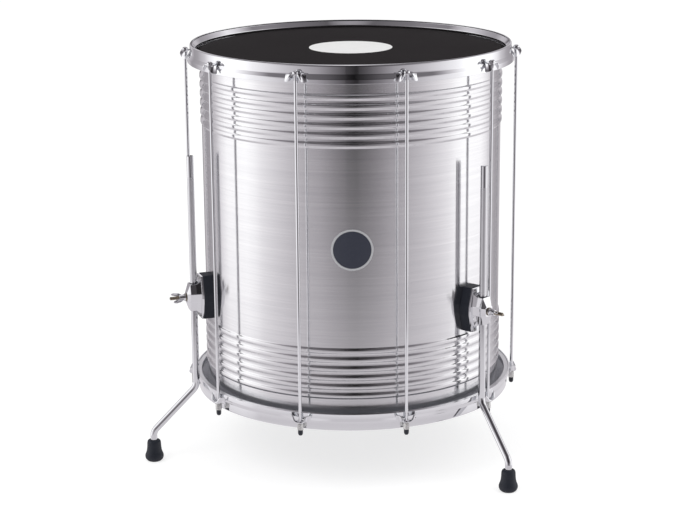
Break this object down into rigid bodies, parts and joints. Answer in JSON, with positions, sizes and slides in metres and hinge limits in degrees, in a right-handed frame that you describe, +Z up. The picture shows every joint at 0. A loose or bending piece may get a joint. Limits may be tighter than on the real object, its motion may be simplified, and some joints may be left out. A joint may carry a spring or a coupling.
{
  "type": "surdo",
  "caption": "Tall surdo bass drum: ribbed aluminium shell, chromed hoops, tension rods with claws, black head and height-adjustable bent legs with rubber feet.",
  "frame": {"origin": "on the floor, under the middle of the bounding box", "axes": "+Z up along the drum, -Y towards the side with the badge, +X to the right seen from that side"},
  "size_m": [0.7058, 0.6958, 0.776],
  "materials": {
    "brushed_aluminium": "brushed round the drum, satin",
    "chrome": "bright polished",
    "zinc_steel": "bright zinc plate",
    "black_film": "matte coated film",
    "white_disc": "satin",
    "badge_enamel": "gloss enamel on a metal plate",
    "black_rubber": "matte",
    "black_nylon": "satin"
  },
  "bodies": {
    "drum": {"shell": "brushed_aluminium", "top_hoop": "chrome", "bottom_hoop": "chrome", "top_flesh_hoop": "brushed_aluminium", "bottom_flesh_hoop": "brushed_aluminium", "top_head_film": "black_film", "bottom_head_film": "black_film", "head_centre_patch": "white_disc", "shell_badge": "badge_enamel", "tension_rod_01": "chrome", "tension_rod_02": "chrome", "tension_rod_03": "chrome", "tension_rod_04": "chrome", "tension_rod_05": "chrome", "tension_rod_06": "chrome", "tension_rod_07": "chrome", "tension_rod_08": "chrome", "tension_rod_09": "chrome", "tension_rod_10": "chrome", "bottom_claw_01": "chrome", "bottom_claw_02": "chrome", "bottom_claw_03": "chrome", "bottom_claw_04": "chrome", "bottom_claw_05": "chrome", "bottom_claw_06": "chrome", "bottom_claw_07": "chrome", "bottom_claw_08": "chrome", "bottom_claw_09": "chrome", "bottom_claw_10": "chrome", "leg_bracket_1": "chrome", "leg_bracket_2": "chrome", "leg_bracket_3": "chrome", "bracket_gasket_1": "black_rubber", "bracket_gasket_2": "black_rubber", "bracket_gasket_3": "black_rubber"},
    "tuning_nut_01": {"tuning_nut_01": "zinc_steel"},
    "tuning_nut_02": {"tuning_nut_02": "zinc_steel"},
    "tuning_nut_03": {"tuning_nut_03": "zinc_steel"},
    "tuning_nut_04": {"tuning_nut_04": "zinc_steel"},
    "tuning_nut_05": {"tuning_nut_05": "zinc_steel"},
    "tuning_nut_06": {"tuning_nut_06": "zinc_steel"},
    "tuning_nut_07": {"tuning_nut_07": "zinc_steel"},
    "tuning_nut_08": {"tuning_nut_08": "zinc_steel"},
    "tuning_nut_09": {"tuning_nut_09": "zinc_steel"},
    "tuning_nut_10": {"tuning_nut_10": "zinc_steel"},
    "sleeve_1": {"leg_sleeve_1": "black_nylon"},
    "leg_1": {"leg_rod_1": "chrome", "rubber_foot_1": "black_rubber"},
    "wing_nut_1": {"wing_nut_1": "chrome"},
    "eyebolt_1": {"eyebolt_1": "zinc_steel"},
    "sleeve_2": {"leg_sleeve_2": "black_nylon"},
    "leg_2": {"leg_rod_2": "chrome", "rubber_foot_2": "black_rubber"},
    "wing_nut_2": {"wing_nut_2": "chrome"},
    "eyebolt_2": {"eyebolt_2": "zinc_steel"},
    "sleeve_3": {"leg_sleeve_3": "black_nylon"},
    "leg_3": {"leg_rod_3": "chrome", "rubber_foot_3": "black_rubber"},
    "wing_nut_3": {"wing_nut_3": "chrome"},
    "eyebolt_3": {"eyebolt_3": "zinc_steel"}
  },
  "joints": [
    {"name": "tuning_nut_01_turn", "type": "hinge", "parent": "drum", "child": "tuning_nut_01", "pos_m": [0.13322, -0.33531, 0.12645], "axis": [0, 0, 1], "continuous": true},
    {"name": "tuning_nut_02_turn", "type": "hinge", "parent": "drum", "child": "tuning_nut_02", "pos_m": [0.28522, -0.22487, 0.12645], "axis": [0, 0, 1], "continuous": true},
    {"name": "tuning_nut_03_turn", "type": "hinge", "parent": "drum", "child": "tuning_nut_03", "pos_m": [0.34328, -0.04619, 0.12645], "axis": [0, 0, 1], "continuous": true},
    {"name": "tuning_nut_04_turn", "type": "hinge", "parent": "drum", "child": "tuning_nut_04", "pos_m": [0.28522, 0.1325, 0.12645], "axis": [0, 0, 1], "continuous": true},
    {"name": "tuning_nut_05_turn", "type": "hinge", "parent": "drum", "child": "tuning_nut_05", "pos_m": [0.13322, 0.24293, 0.12645], "axis": [0, 0, 1], "continuous": true},
    {"name": "tuning_nut_06_turn", "type": "hinge", "parent": "drum", "child": "tuning_nut_06", "pos_m": [-0.05466, 0.24293, 0.12645], "axis": [0, 0, 1], "continuous": true},
    {"name": "tuning_nut_07_turn", "type": "hinge", "parent": "drum", "child": "tuning_nut_07", "pos_m": [-0.20666, 0.1325, 0.12645], "axis": [0, 0, 1], "continuous": true},
    {"name": "tuning_nut_08_turn", "type": "hinge", "parent": "drum", "child": "tuning_nut_08", "pos_m": [-0.26472, -0.04619, 0.12645], "axis": [0, 0, 1], "continuous": true},
    {"name": "tuning_nut_09_turn", "type": "hinge", "parent": "drum", "child": "tuning_nut_09", "pos_m": [-0.20666, -0.22487, 0.12645], "axis": [0, 0, 1], "continuous": true},
    {"name": "tuning_nut_10_turn", "type": "hinge", "parent": "drum", "child": "tuning_nut_10", "pos_m": [-0.05466, -0.33531, 0.12645], "axis": [0, 0, 1], "continuous": true},
    {"name": "leg_1_swivel", "type": "hinge", "parent": "drum", "child": "sleeve_1", "pos_m": [-0.25306, -0.14628, 0.3185], "axis": [0, 0, 1], "range_deg": [-50, 50]},
    {"name": "leg_1_height", "type": "slide", "parent": "sleeve_1", "child": "leg_1", "axis": [0, 0, 1], "range_m": [-0.18, 0.11]},
    {"name": "wing_nut_1_turn", "type": "hinge", "parent": "drum", "child": "wing_nut_1", "pos_m": [-0.28144, -0.156, 0.3185], "axis": [-0.9461, -0.3239, 0], "range_deg": [0, 720]},
    {"name": "eyebolt_1_release", "type": "slide", "parent": "drum", "child": "eyebolt_1", "axis": [0.9461, 0.3239, 0], "range_m": [0, 0.002]},
    {"name": "leg_2_swivel", "type": "hinge", "parent": "drum", "child": "sleeve_2", "pos_m": [0.27213, -0.24932, 0.3185], "axis": [0, 0, 1], "range_deg": [-50, 50]},
    {"name": "leg_2_height", "type": "slide", "parent": "sleeve_2", "child": "leg_2", "axis": [0, 0, 1], "range_m": [-0.18, 0.11]},
    {"name": "wing_nut_2_turn", "type": "hinge", "parent": "drum", "child": "wing_nut_2", "pos_m": [0.29474, -0.26904, 0.3185], "axis": [0.7536, -0.6574, 0], "range_deg": [0, 720]},
    {"name": "eyebolt_2_release", "type": "slide", "parent": "drum", "child": "eyebolt_2", "axis": [-0.7536, 0.6574, 0], "range_m": [0, 0.002]},
    {"name": "leg_3_swivel", "type": "hinge", "parent": "drum", "child": "sleeve_3", "pos_m": [0.09877, 0.25703, 0.3185], "axis": [0, 0, 1], "range_deg": [-50, 50]},
    {"name": "leg_3_height", "type": "slide", "parent": "sleeve_3", "child": "leg_3", "axis": [0, 0, 1], "range_m": [-0.18, 0.11]},
    {"name": "wing_nut_3_turn", "type": "hinge", "parent": "drum", "child": "wing_nut_3", "pos_m": [0.10455, 0.28647, 0.3185], "axis": [0.1925, 0.9813, 0], "range_deg": [0, 720]},
    {"name": "eyebolt_3_release", "type": "slide", "parent": "drum", "child": "eyebolt_3", "axis": [-0.1925, -0.9813, 0], "range_m": [0, 0.002]}
  ],
  "couplings": [
    {"joint": "eyebolt_1_release", "follows": "wing_nut_1_turn", "m_per_rad": 0.000159},
    {"joint": "eyebolt_2_release", "follows": "wing_nut_2_turn", "m_per_rad": 0.000159},
    {"joint": "eyebolt_3_release", "follows": "wing_nut_3_turn", "m_per_rad": 0.000159}
  ]
}
